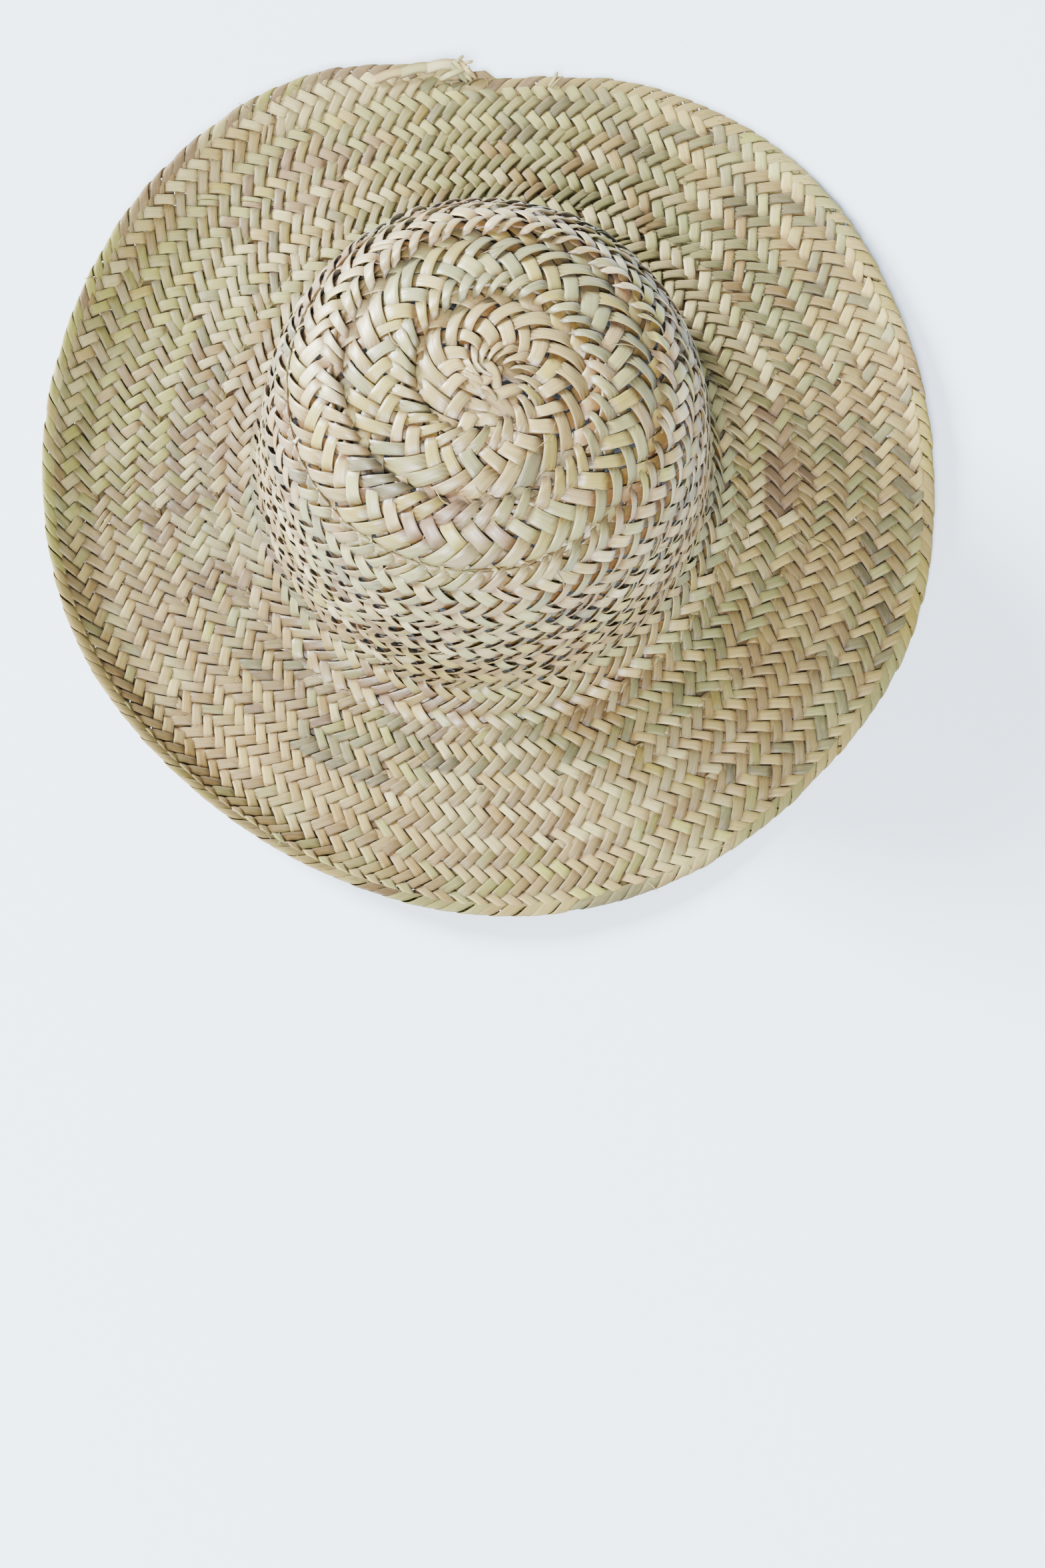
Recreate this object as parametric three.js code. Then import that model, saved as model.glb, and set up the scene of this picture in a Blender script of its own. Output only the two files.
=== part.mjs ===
// Palm leaf sun hat, resting on its brim.
// One flat plait of palm leaf strips is wound in a coil, from the tip of the crown out to the rim.
// Millimetres, +Z up, +Y towards the back of the hat, where the end of the plait is tucked in.
// The origin is the centre of the hat's footprint, on the surface that the brim rests on.

import * as THREE from 'three';

// Driving dimensions
const PLAIT_THICKNESS = 2;
const SEAM_GAP = 0.3;
const AZIMUTH_STEPS = 72;
const CROWN_AXIS = { x: -1.1, y: 1 };
const CROWN_LEAN = { x: 1, y: 3, fromHeight: 20, toHeight: 100 };

// Rings of the plait's middle surface, from the tip of the crown to the flat of the brim
const RINGS = [
  { ring: 'tip', radius: 0, height: 117.5 },
  { ring: 'first turn, inside', radius: 14, height: 117.3 },
  { ring: 'first turn', radius: 28, height: 116.8 },
  { ring: 'second turn, inside', radius: 42, height: 115.8 },
  { ring: 'second turn', radius: 54, height: 113.8 },
  { ring: 'tip seam', radius: 62, height: 111.2 },
  { ring: 'shoulder, top', radius: 70, height: 107 },
  { ring: 'shoulder', radius: 77.5, height: 100.3 },
  { ring: 'shoulder seam', radius: 83.6, height: 90.5 },
  { ring: 'wall, top', radius: 87.4, height: 77 },
  { ring: 'wall', radius: 90.2, height: 60 },
  { ring: 'wall, lower', radius: 92.4, height: 42 },
  { ring: 'wall, foot', radius: 94.4, height: 27 },
  { ring: 'turn of the brim', radius: 97.4, height: 16.8 },
  { ring: 'brim seam', radius: 102.4, height: 10.4 },
  { ring: 'brim, inside', radius: 110.5, height: 6.2 },
  { ring: 'brim', radius: 123, height: 3.9 },
  { ring: 'brim, middle', radius: 137, height: 2.4 },
  { ring: 'brim, outside', radius: 150, height: 1.4 },
  { ring: 'flat, inside', radius: 160, height: PLAIT_THICKNESS / 2 },
  { ring: 'flat, outside', radius: 172, height: PLAIT_THICKNESS / 2 },
];
// The lip's rings lie at these shares of the way from the flat to the rim's selvage
const LIP_SHARES = [0.5, 1];
const LIP_CURVE = 1.6;

// The rim by azimuth, counterclockwise from +X: its radius, the height of its middle surface,
// and how far the brim swells up inside it where the rim rolls down
const RIM = [
  { azimuth: 0, radius: 194, height: 7, swell: 0 },
  { azimuth: 22.5, radius: 195, height: 7, swell: 0 },
  { azimuth: 45, radius: 198, height: 5, swell: 0 },
  { azimuth: 67.5, radius: 194, height: 4, swell: 0 },
  { azimuth: 90, radius: 186, height: 4, swell: 0 },
  { azimuth: 112.5, radius: 200, height: 7, swell: 0 },
  { azimuth: 135, radius: 199, height: 11, swell: 0 },
  { azimuth: 157.5, radius: 194.5, height: 13, swell: 0 },
  { azimuth: 180, radius: 192, height: 12, swell: 0 },
  { azimuth: 202.5, radius: 190.5, height: 13, swell: 0 },
  { azimuth: 225, radius: 187, height: 16, swell: 0 },
  { azimuth: 247.5, radius: 188, height: 14, swell: 0 },
  { azimuth: 270, radius: 193, height: 10, swell: 0 },
  { azimuth: 292.5, radius: 195, height: 6, swell: 3 },
  { azimuth: 315, radius: 194, height: 2.5, swell: 7 },
  { azimuth: 337.5, radius: 196.5, height: 4, swell: 3 },
];
const SWELL_INSIDE_RADIUS = 115;

// The coil steps in at the plait's end, and each side eases back into the rim's curve
const PLAIT_END = { azimuth: 92.6, proud: 4, proudEase: 6, shy: 3, shyEase: 12 };

// The selvage's rounded section, and the plait's end that lies on it
const SELVAGE = { width: 4.8, thickness: 3.2, sides: 8 };
const TAIL = { fromAzimuth: 106, toAzimuth: 91.4, steps: 6, width: 7.5, endWidth: 4, thickness: 2.2 };

const radians = THREE.MathUtils.degToRad;

// Value of one column of the RIM table at any azimuth, on a smooth closed curve through its rows
function rimColumn(column, azimuth) {
  const rowAngle = 360 / RIM.length;
  const rowsPassed = THREE.MathUtils.euclideanModulo(azimuth, 360) / rowAngle;
  const row = Math.floor(rowsPassed);
  const t = rowsPassed - row;
  const value = (offset) => RIM[(row + offset + RIM.length) % RIM.length][column];
  const [a, b, c, d] = [value(-1), value(0), value(1), value(2)];
  return b + 0.5 * t * (c - a + t * (2 * a - 5 * b + 4 * c - d + t * (3 * (b - c) + d - a)));
}

function rimRadius(azimuth) {
  const past = THREE.MathUtils.euclideanModulo(azimuth - PLAIT_END.azimuth + 180, 360) - 180;
  const step = past > 0
    ? PLAIT_END.proud * Math.exp(-past / PLAIT_END.proudEase)
    : -PLAIT_END.shy * Math.exp(past / PLAIT_END.shyEase);
  return rimColumn('radius', azimuth) + step;
}

function swellAt(azimuth) {
  return Math.max(0, rimColumn('swell', azimuth));
}

// Height of the brim's middle surface at a radius beyond the flat's inside, or its plain ring height
function brimHeight(radius, azimuth, ringHeight) {
  const rim = rimRadius(azimuth);
  const flat = RINGS[RINGS.length - 1];
  let height = ringHeight;
  if (radius > flat.radius) {
    const share = (radius - flat.radius) / (rim - flat.radius);
    height = flat.height + (rimColumn('height', azimuth) - flat.height) * share ** LIP_CURVE;
  }
  if (radius > SWELL_INSIDE_RADIUS) {
    const share = (radius - SWELL_INSIDE_RADIUS) / (rim - SWELL_INSIDE_RADIUS);
    height += swellAt(azimuth) * Math.sin(Math.PI * Math.min(1, share)) ** 2;
  }
  return height;
}

function place(radius, azimuth, height) {
  const lean = THREE.MathUtils.smoothstep(height, CROWN_LEAN.fromHeight, CROWN_LEAN.toHeight);
  return new THREE.Vector3(
    CROWN_AXIS.x + CROWN_LEAN.x * lean + radius * Math.cos(radians(azimuth)),
    CROWN_AXIS.y + CROWN_LEAN.y * lean + radius * Math.sin(radians(azimuth)),
    height,
  );
}

const RING_COUNT = RINGS.length + LIP_SHARES.length;

function ringPoint(index, azimuth) {
  if (index < RINGS.length) {
    const { radius, height } = RINGS[index];
    return place(radius, azimuth, brimHeight(radius, azimuth, height));
  }
  const flatRadius = RINGS[RINGS.length - 1].radius;
  const lipEnd = rimRadius(azimuth) - SELVAGE.width - SEAM_GAP;
  const radius = flatRadius + (lipEnd - flatRadius) * LIP_SHARES[index - RINGS.length];
  return place(radius, azimuth, brimHeight(radius, azimuth, 0));
}

// Outward normal of the middle surface; the flat that the hat rests on stays truly level
function ringNormal(index, azimuth) {
  const onFlat = index === RINGS.length - 1 || index === RINGS.length - 2;
  if (index === 0 || (onFlat && swellAt(azimuth) === 0)) {
    return new THREE.Vector3(0, 0, 1);
  }
  const before = ringPoint(index - 1, azimuth);
  const after = ringPoint(Math.min(index + 1, RING_COUNT - 1), azimuth);
  const outwards = after.sub(before);
  const sideways = ringPoint(index, azimuth + 1).sub(ringPoint(index, azimuth - 1));
  return outwards.cross(sideways).normalize();
}

function meshFrom(points, triangles, material, name) {
  const geometry = new THREE.BufferGeometry();
  geometry.setAttribute('position', new THREE.Float32BufferAttribute(points.flatMap((p) => [p.x, p.y, p.z]), 3));
  geometry.setIndex(triangles);
  geometry.computeVertexNormals();
  const mesh = new THREE.Mesh(geometry, material);
  mesh.name = name;
  return mesh;
}

// Quad between two closed rings of vertices, as two triangles
function pushQuad(triangles, a, b, c, d) {
  triangles.push(a, b, c, a, c, d);
}

// A wall of the plait between two rings: outer face, inner face and the edges that join them
function plaitShell(firstRing, lastRing, material, name) {
  const startsAtTip = firstRing === 0;
  const points = [];
  const rows = [];
  for (const side of [1, -1]) {
    for (let ring = firstRing; ring <= lastRing; ring += 1) {
      const row = [];
      const steps = ring === 0 ? 1 : AZIMUTH_STEPS;
      for (let step = 0; step < steps; step += 1) {
        const azimuth = (360 * step) / AZIMUTH_STEPS;
        const normal = ringNormal(ring, azimuth);
        const point = ringPoint(ring, azimuth);
        if (ring === firstRing && !startsAtTip) {
          const inwards = ringPoint(ring + 1, azimuth).sub(point).projectOnPlane(normal).setLength(SEAM_GAP);
          point.add(inwards);
        }
        row.push(points.length);
        points.push(point.addScaledVector(normal, (side * PLAIT_THICKNESS) / 2));
      }
      rows.push(row);
    }
  }
  const ringsHere = lastRing - firstRing + 1;
  const triangles = [];
  for (let step = 0; step < AZIMUTH_STEPS; step += 1) {
    const next = (step + 1) % AZIMUTH_STEPS;
    for (let ring = 0; ring < ringsHere - 1; ring += 1) {
      const [outer, outerNext] = [rows[ring], rows[ring + 1]];
      const [inner, innerNext] = [rows[ringsHere + ring], rows[ringsHere + ring + 1]];
      if (outer.length === 1) {
        triangles.push(outer[0], outerNext[step], outerNext[next]);
        triangles.push(inner[0], innerNext[next], innerNext[step]);
      } else {
        pushQuad(triangles, outer[step], outerNext[step], outerNext[next], outer[next]);
        pushQuad(triangles, inner[next], innerNext[next], innerNext[step], inner[step]);
      }
    }
    const [outerLast, innerLast] = [rows[ringsHere - 1], rows[2 * ringsHere - 1]];
    pushQuad(triangles, outerLast[step], innerLast[step], innerLast[next], outerLast[next]);
    if (!startsAtTip) {
      const [outerFirst, innerFirst] = [rows[0], rows[ringsHere]];
      pushQuad(triangles, outerFirst[next], innerFirst[next], innerFirst[step], outerFirst[step]);
    }
  }
  return meshFrom(points, triangles, material, name);
}

// A frame on the rim's selvage: its centre, the way out along the lip, and the way up from it
function selvageFrame(azimuth) {
  const radius = rimRadius(azimuth) - SELVAGE.width / 2;
  const centre = place(radius, azimuth, brimHeight(radius, azimuth, 0));
  const inside = place(radius - 2, azimuth, brimHeight(radius - 2, azimuth, 0));
  const out = centre.clone().sub(inside).normalize();
  const along = new THREE.Vector3(-Math.sin(radians(azimuth)), Math.cos(radians(azimuth)), 0);
  const up = out.clone().cross(along).normalize();
  return { centre, out, up };
}

function rimEdge(material) {
  const points = [];
  const triangles = [];
  for (let step = 0; step < AZIMUTH_STEPS; step += 1) {
    const { centre, out, up } = selvageFrame((360 * step) / AZIMUTH_STEPS);
    const next = (step + 1) % AZIMUTH_STEPS;
    for (let side = 0; side < SELVAGE.sides; side += 1) {
      const turn = (2 * Math.PI * side) / SELVAGE.sides;
      const point = centre.clone();
      point.addScaledVector(out, (SELVAGE.width / 2) * Math.cos(turn));
      point.addScaledVector(up, (SELVAGE.thickness / 2) * Math.sin(turn));
      points.push(point);
      const nextSide = (side + 1) % SELVAGE.sides;
      const [here, there] = [step * SELVAGE.sides, next * SELVAGE.sides];
      pushQuad(triangles, here + side, there + side, there + nextSide, here + nextSide);
    }
  }
  return meshFrom(points, triangles, material, 'rim_edge');
}

// The plait's end: a flat bundle that tapers along the selvage and ends just past the coil's step
function tailTuft(material) {
  const points = [];
  const triangles = [];
  const corners = [[-1, -1], [1, -1], [1, 1], [-1, 1]];
  for (let step = 0; step <= TAIL.steps; step += 1) {
    const share = step / TAIL.steps;
    const azimuth = THREE.MathUtils.lerp(TAIL.fromAzimuth, TAIL.toAzimuth, share);
    const beforeStep = Math.max(azimuth, PLAIT_END.azimuth + 2.4);
    const radius = rimRadius(beforeStep) - SELVAGE.width / 2;
    const height = brimHeight(radius, beforeStep, 0);
    const centre = place(radius, azimuth, height);
    const lift = SELVAGE.thickness / 2 + SEAM_GAP + TAIL.thickness / 2;
    const width = THREE.MathUtils.lerp(TAIL.width, TAIL.endWidth, share);
    const out = new THREE.Vector3(Math.cos(radians(azimuth)), Math.sin(radians(azimuth)), 0);
    centre.z += lift;
    for (const [sideways, upwards] of corners) {
      const point = centre.clone().addScaledVector(out, (sideways * width) / 2);
      point.z += (upwards * TAIL.thickness) / 2;
      points.push(point);
    }
  }
  for (let step = 0; step < TAIL.steps; step += 1) {
    for (let corner = 0; corner < corners.length; corner += 1) {
      const nextCorner = (corner + 1) % corners.length;
      const [here, there] = [step * corners.length, (step + 1) * corners.length];
      pushQuad(triangles, here + corner, here + nextCorner, there + nextCorner, there + corner);
    }
  }
  const last = TAIL.steps * corners.length;
  pushQuad(triangles, 3, 2, 1, 0);
  pushQuad(triangles, last, last + 1, last + 2, last + 3);
  return meshFrom(points, triangles, material, 'tail_tuft');
}

function straw(colour) {
  return new THREE.MeshStandardMaterial({ color: colour, roughness: 0.75, metalness: 0 });
}

const ringIndex = (name) => RINGS.findIndex(({ ring }) => ring === name);
const tipSeam = ringIndex('tip seam');
const shoulderSeam = ringIndex('shoulder seam');
const brimSeam = ringIndex('brim seam');

const hat = new THREE.Group();
hat.add(plaitShell(0, tipSeam, straw('#d9cfb8'), 'crown_tip'));
hat.add(plaitShell(tipSeam, shoulderSeam, straw('#cec5a6'), 'crown_shoulder'));
hat.add(plaitShell(shoulderSeam, brimSeam, straw('#c9bf9d'), 'crown_wall'));
hat.add(plaitShell(brimSeam, RING_COUNT - 1, straw('#c4b794'), 'brim'));
hat.add(rimEdge(straw('#b79f6f')));
hat.add(tailTuft(straw('#c3c7a2')));

export default hat;
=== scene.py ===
# Palm leaf sun hat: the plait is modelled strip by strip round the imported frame.
# Lengths in the tables are millimetres, and MM turns them into the frame's metres.
# Azimuths are degrees counterclockwise from +X, and +Y is the back of the hat.
import math

import bpy
import numpy as np
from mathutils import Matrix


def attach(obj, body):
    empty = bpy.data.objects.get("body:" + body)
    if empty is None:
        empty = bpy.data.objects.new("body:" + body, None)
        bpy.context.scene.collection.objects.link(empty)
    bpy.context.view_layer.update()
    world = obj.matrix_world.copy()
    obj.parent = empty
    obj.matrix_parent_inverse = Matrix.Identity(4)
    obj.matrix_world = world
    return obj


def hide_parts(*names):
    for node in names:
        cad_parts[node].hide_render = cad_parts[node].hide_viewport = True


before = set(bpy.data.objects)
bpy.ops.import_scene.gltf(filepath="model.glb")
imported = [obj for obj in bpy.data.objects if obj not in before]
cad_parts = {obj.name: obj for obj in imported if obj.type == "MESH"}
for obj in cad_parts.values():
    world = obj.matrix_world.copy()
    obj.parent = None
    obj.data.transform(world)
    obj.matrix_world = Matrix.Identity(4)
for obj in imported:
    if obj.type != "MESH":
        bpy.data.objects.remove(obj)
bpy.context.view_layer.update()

MM = 0.001
SEED = 20

# The middle surface, with the same driving sizes as the frame
CROWN_AXIS = (-1.1, 1.0)
CROWN_LEAN = {"x": 1.0, "y": 3.0, "from": 20.0, "to": 100.0}
RINGS = np.array([  # radius, height
    (0, 117.5), (14, 117.3), (28, 116.8), (42, 115.8), (54, 113.8), (62, 111.2),
    (70, 107), (77.5, 100.3), (83.6, 90.5), (87.4, 77), (90.2, 60), (92.4, 42),
    (94.4, 27), (97.4, 16.8), (102.4, 10.4), (110.5, 6.2), (123, 3.9), (137, 2.4),
    (150, 1.4), (160, 1), (172, 1)], float)
RIM = np.array([  # radius, height and swell at every 22.5 degrees
    (194, 7, 0), (195, 7, 0), (198, 5, 0), (194, 4, 0), (186, 4, 0), (200, 7, 0),
    (199, 11, 0), (194.5, 13, 0), (192, 12, 0), (190.5, 13, 0), (187, 16, 0), (188, 14, 0),
    (193, 10, 0), (195, 6, 3), (194, 2.5, 7), (196.5, 4, 3)], float)
LEVEL_RADIUS = 158.0
LEVEL_HEIGHT = 1.0
LIP_CURVE = 1.6
SWELL_INSIDE_RADIUS = 115.0
PLAIT_END = {"azimuth": 92.6, "proud": 4.0, "proud_ease": 6.0, "shy": 3.0, "shy_ease": 12.0}
SELVAGE_WIDTH = 4.8
FLOOR_CLEARANCE = 0.05
AZIMUTH_CELLS = 720

# The plait: a flat band of eight strips, wound clockwise outwards from the left of the tip.
# The band is four rows wide, and each row is one line of floats in the herringbone.
TURN_WIDTH = 28.4
ROWS = 4
STRANDS = 8
COIL_START_AZIMUTH = 180.0
STARTING_TAIL = {"pitches": 6.0, "bend": 45.0, "sunk": 1.1, "sinks_over": 14.0}
PLAIT_END_TURN = 9.243
COARSE_PITCH = 9.6
COARSE_ROW = 9.0
COARSE_TURNS = (2.0, 2.4)
CROWN_TURNS = (6.6, 5.2)
ROW_EDGES = (-0.25, 3.75)
TUCK = 0.33
TUCKED_RIDE = 0.3
SAMPLES_PER_ROW = 6
FLOAT_BIAS = 0.10
FLOAT_SOFTNESS = 0.18
FLOAT_GAIN = 1.09
INSIDE_RIM = 1.6
SHORTEST_LEG = 0.15
SPLIT_STRIP = {"share": 0.008, "width": 0.46, "apart": 0.25, "apart_spread": 0.1}

# The coarse tip, in turns and rows: each lap stands over the lap outside it, and its inner edge is a hem
LAP = {"lag": 0.3, "starts": (0.3, 0.9), "rows_over": (0.3, 1.8), "rise": 1.7,
       "rows_under": (2.0, 3.0), "drop": 1.5}
HEM = {"lag": 0.4, "late": 0.5, "curl_from": 0.15, "curl": 1.9, "pinch_rows": (0.5, -0.2), "pinch": 0.22}

# Where strips shift along the band to come into step with the turns beside them
STEP_TURNS = {"inner": (1.6, 2.4), "outer": (1.0, 1.8)}
STEP_ROWS = {"inner": (2.0, -0.3), "outer": (2.0, 4.1)}

# By turn: the pitch of the strips along the band, how much of it a strip fills where it rides over, how much
# wider it is where it is pressed flat, and how high it rides. The crown is more open than the brim.
STRIP_PITCH = np.array([
    (0.0, COARSE_PITCH), (1.9, 9.4), (2.6, 8.5), (4.5, 7.8), (5.8, 7.2), (6.8, 6.6), (7.8, 6.8), (9.3, 7.6)])
STRIP_FILL = np.array([(0.0, 0.86), (1.6, 0.84), (2.4, 0.82), (5.0, 0.83), (6.2, 0.88), (9.3, 0.90)])
HIDDEN_SPREAD = np.array([(0.0, 0.10), (5.0, 0.12), (6.5, 0.20), (9.3, 0.20)])
LAYER_HEIGHT = np.array([(0.0, 1.15), (1.8, 1.25), (5.2, 1.20), (6.4, 0.90), (9.3, 0.85)])

# How uneven the strips are: on the brim, and what the tip (width and drift) or the crown adds
WIDTH_SPREAD = (0.05, 0.05)
DRIFT_SPREAD = (0.035, 0.05)
TILT = (0.35, 0.75)
TILT_SPREAD = (0.25, 0.30)
ARCH_SPREAD = (0.12, 0.13)
LOWEST_ARCH = 0.6
TEXTURE_RUN = 50.0

# The selvage: strips folded over the rim, side by side and each on a slant
RIM_FOLDS = 160
FOLD_ANGLES = np.radians([214.0, 186.0, 160.0, 128.0, 94.0, 60.0, 28.0,
                          0.0, -30.0, -62.0, -100.0, -140.0, -180.0, -208.0])
FOLD = {"half_width": 2.9, "half_thickness": 0.9, "inset": 0.6, "slant": 3.3, "fill": 0.98, "shingle": 0.30,
        "strip_thickness": 0.8, "texture_angle": 1.2, "of_one_leaf": 5}
FOLD_SPREAD = {"place": 0.16, "width": 0.05, "proud": 0.22}
LOOSE_RIM = {"azimuth": 48.0, "spread": 36.0, "wider": 1.1, "inset": 0.7, "slant": 0.8, "narrower": 0.10}

# Section of a strip: share of its width, height in mm, and its place across the strip's texture
STRIP_SECTION = np.array([
    (-0.50, 0.00, 0.00), (-0.45, 0.34, 0.05), (-0.20, 0.50, 0.30), (0.20, 0.50, 0.70),
    (0.45, 0.34, 0.95), (0.50, 0.00, 1.00), (0.30, -0.06, 0.80), (-0.30, -0.06, 0.20)])
STRIP_CAP = np.array([(0, 1, 2, 7), (7, 2, 3, 6), (6, 3, 4, 5)])
SECTION_SIDE, SECTION_RISE, SECTION_TEXTURE = STRIP_SECTION.T

# Leaf colours as sRGB, with how often each turns up
LEAF_COLOURS = [
    ("straw", (0.800, 0.715, 0.480), 30),
    ("cream", (0.900, 0.850, 0.670), 12),
    ("pale green", (0.735, 0.722, 0.490), 16),
    ("grey green", (0.640, 0.645, 0.460), 6),
    ("pink beige", (0.770, 0.675, 0.490), 14),
    ("tan", (0.690, 0.580, 0.365), 8),
    ("olive yellow", (0.755, 0.695, 0.370), 6),
    ("grey", (0.565, 0.545, 0.415), 3),
    ("mauve", (0.640, 0.535, 0.420), 3),
    ("lime", (0.765, 0.760, 0.430), 4),
    ("brown", (0.560, 0.450, 0.300), 2),
]
LEAF_TONE = np.array((0.560, 0.548, 0.480))
BRIM_TONE = np.array((0.63, 0.620, 0.490))
# A strip turns over at each fold. Painted light and shade by the way a float runs, as the light falls on it:
# darker on the way out, lighter on the way in, less of it on the crown
OUTWARD_FLOAT_SHADE = np.array((0.76, 0.725, 0.70))
INWARD_FLOAT_HIGHLIGHT = np.array((1.26, 1.27, 1.29))
CROWN_FLOAT_LIGHT_FADE = 0.5
# Strips split from one leaf lie side by side for a number of legs, and leaves come in bunches of one colour
LEAF_STRANDS = ((0, 1, 2), (3, 4), (5, 6, 7))
LEAF_LEGS = (3, 9)
BUNCH_LEGS = (4, 12)
BUNCHED_SHARE = 0.40
ODD_STRIP_SHARE = 0.18
TONE_SPREAD = {"strip": 0.06, "leg": 0.05, "zone": 0.08, "fold": 0.07}

# Painted shade and painted light on parts of the brim, where a factor darkens or lightens: azimuth, spread,
# distance from and to, factor
LIT_AND_SHADED_ZONES = [
    # painted shade where the left brim tilts away from the light
    (184, 46, 125, 180, 0.68),
    # painted light where the raised rim shades the brim
    (228, 26, 205, 240, 1.45),
    # painted light behind the crown, which shades the brim
    (88, 52, 120, 150, 1.24),
]

# Zones where strips of one colour have come together
LOCAL_TINTS = [  # colour, azimuth, distance from the tip, spread in degrees and in mm, share of strips
    ("straw", 0, 12, 180, 22, 0.75),
    ("olive yellow", 192, 43, 26, 6, 0.85),
    ("mauve", 256, 49, 24, 6, 0.80),
    ("mauve", 266, 66, 28, 6, 0.75),
    ("grey", 312, 43, 17, 9, 0.75),
    ("grey", 222, 54, 10, 5, 0.85),
    ("pale green", 303, 69, 13, 6, 0.85),
    ("pale green", 238, 84, 30, 9, 0.60),
    ("cream", 160, 60, 30, 10, 0.70),
    ("pale green", 265, 112, 70, 34, 0.30),
    ("olive yellow", 262, 140, 60, 22, 0.30),
    ("tan", 190, 192, 48, 46, 0.34),
    ("mauve", 206, 200, 36, 36, 0.22),
    ("lime", 168, 246, 26, 26, 0.55),
    ("straw", 222, 250, 36, 36, 0.70),
    ("pink beige", 216, 240, 34, 40, 0.40),
    ("tan", 224, 258, 32, 22, 0.35),
    ("tan", 195, 195, 45, 22, 0.28),
    ("grey green", 205, 172, 24, 12, 0.40),
    ("mauve", 252, 184, 28, 11, 0.35),
    ("cream", 284, 226, 32, 20, 0.45),
    ("grey", 243, 222, 9, 9, 0.70),
    ("grey", 258, 206, 8, 7, 0.60),
    ("tan", 296, 190, 12, 10, 0.60),
    ("grey green", 8, 172, 42, 14, 0.32),
    ("mauve", 2, 205, 14, 11, 0.45),
    ("pink beige", 345, 232, 40, 20, 0.30),
    ("pale green", 103, 232, 14, 14, 0.50),
    ("mauve", 122, 238, 16, 12, 0.50),
]
RIM_TINTS = [  # colour, azimuth, spread in degrees, share of folds
    ("mauve", 116, 17, 0.75),
    ("lime", 172, 26, 0.70),
    ("straw", 222, 30, 0.85),
    ("straw", 60, 40, 0.60),
]

# Painted shade, darkening towards the brown of a crevice under other strips, under laps and along edges: a
# share on the brim, and what the crown adds to it
PAINTED_SHADE_TINT = (0.40, 0.28, 0.15)
PAINTED_SHADE_GAIN = 2.0
UNDER_RIDE = (0.95, -0.05)
UNDER_SHADE = (0.76, 0.14)
LAPPED_ROWS = ((2.7, 3.1), (0.05, -0.2))
LAPPED_SHADE = 0.85
EDGE_SHADE = (0.30, 0.25)
OUTWARD_EDGE_SHADE = 0.18
STRIP_EDGE = 0.48
FOLD_SHADES = {"edge": 0.45, "edge_shade": 0.5,
               "tucked_angles": np.radians([165.0, 200.0]), "tucked_shade": 0.7}
LOOSE_SHADES = {"edge": 0.40, "edge_shade": 0.75, "deepest": 0.40, "depths": (-1.5, 0.1)}

# Loose strips: their ends taper, and their texture runs a few pitches
TAPER = {"start": 0.7, "end": 0.35, "rate": 4.0}
LOOSE_TEXTURE_RUN = 3.0
END_SAMPLES = 17
END_THICKNESS = 0.9
CENTRE_SAMPLES = 13
CENTRE_THICKNESS = 0.8

# The plait's end: its strips are folded over the rim one on another, and knotted. The keys are the azimuths
# where the rim is measured. Rows: azimuth, in from the rim and lift at three places; width and colour
END_STRIPS = {
    100.0: [
        ((105.6, 0.9, 1.8), (102.8, -0.1, 2.7), (100, 0.9, 2), 4.4, "straw"),
        ((102.4, 0.9, 2.2), (99.4, -0.2, 3.3), (96.4, 1, 2.4), 4.8, "pale green"),
        ((98.8, 0.9, 2.7), (96, -0.2, 4), (93.4, 1.2, 3), 5, "cream"),
        ((95.6, -1.6, 3), (94.5, 2.2, 4.3), (92.9, 8.2, 2.2), 2.8, "grey green"),
        ((94.8, -1.9, 3.2), (93.8, 1.8, 4.6), (92.2, 7.6, 2.2), 2.6, "pale green"),
        ((94, -1.8, 3.2), (93.1, 1.6, 4.5), (91.6, 6.6, 2.2), 2.6, "straw"),
        ((96.6, 5.6, 1.8), (94.6, 4.2, 4.6), (92.4, 1.4, 3.8), 3, "pale green"),
        ((94.2, -0.4, 4.6), (93.6, -2.2, 4.6), (93.2, -3.4, 4.2), 1.5, "pale green"),
        ((93.4, 0.6, 4.4), (92.6, -0.6, 4.2), (91.9, -1.2, 3.8), 1.4, "straw"),
    ],
    80.8: [
        ((81.3, 2.2, 1.6), (80.7, -1.4, 3), (80.4, -4.6, 3.6), 1.7, "pale green"),
        ((80.9, 2, 1.8), (80.2, -1, 2.8), (79.6, -3, 2.4), 1.3, "straw"),
    ],
}
CENTRE_STRIPS = [  # x, y and lift at three places; width and colour
    ((13, -17, -1.2), (6, -9, -0.2), (-1, -3, -0.9), 6, "pink beige"),
    ((-2, -14, -1.3), (6, -12, -0.5), (14, -9, -1.4), 5.6, "straw"),
    ((1, -8, -1), (8, -5, 0.2), (15, -3, -1), 5.2, "straw"),
    ((9, -20, -1.4), (11, -11, -0.7), (10, -2, -1.3), 5, "tan"),
    ((-5, -4, -0.6), (1, 0, 0.9), (7, 5, -0.3), 4.8, "straw"),
    ((2, -7, -0.6), (-3, -1, 1), (-7, 5, -0.4), 5.4, "pink beige"),
    ((-9, 1, -0.5), (-4, 4, 0.9), (3, 6, -0.5), 4.4, "cream"),
    ((-27, 5, -1), (-20, -2, -0.2), (-13, -9, -1), 7.5, "straw"),
    ((-27, -7, -1.6), (-20, -1, -1.2), (-12, 5, -1.6), 6.5, "tan"),
    ((3, 12, -1.4), (9, 5, -0.9), (17, 0, -1.5), 8, "tan"),
    ((1, 1, -1.9), (9, 4, -1.5), (18, 8, -1.9), 7, "brown"),
    ((-7, -14, -1.4), (1, -11, -1), (9, -8, -1.4), 7, "straw"),
    ((5, -4, -0.3), (4, 2, 1.2), (0, 8, -0.2), 4.2, "straw"),
    ((-1, -3, 0.8), (2, -5, 1.8), (5, -9, 1.2), 2, "tan"),
    ((3, 1, 1.2), (-1, 3, 2), (-4, 8, 1), 1.6, "cream"),
]

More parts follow.
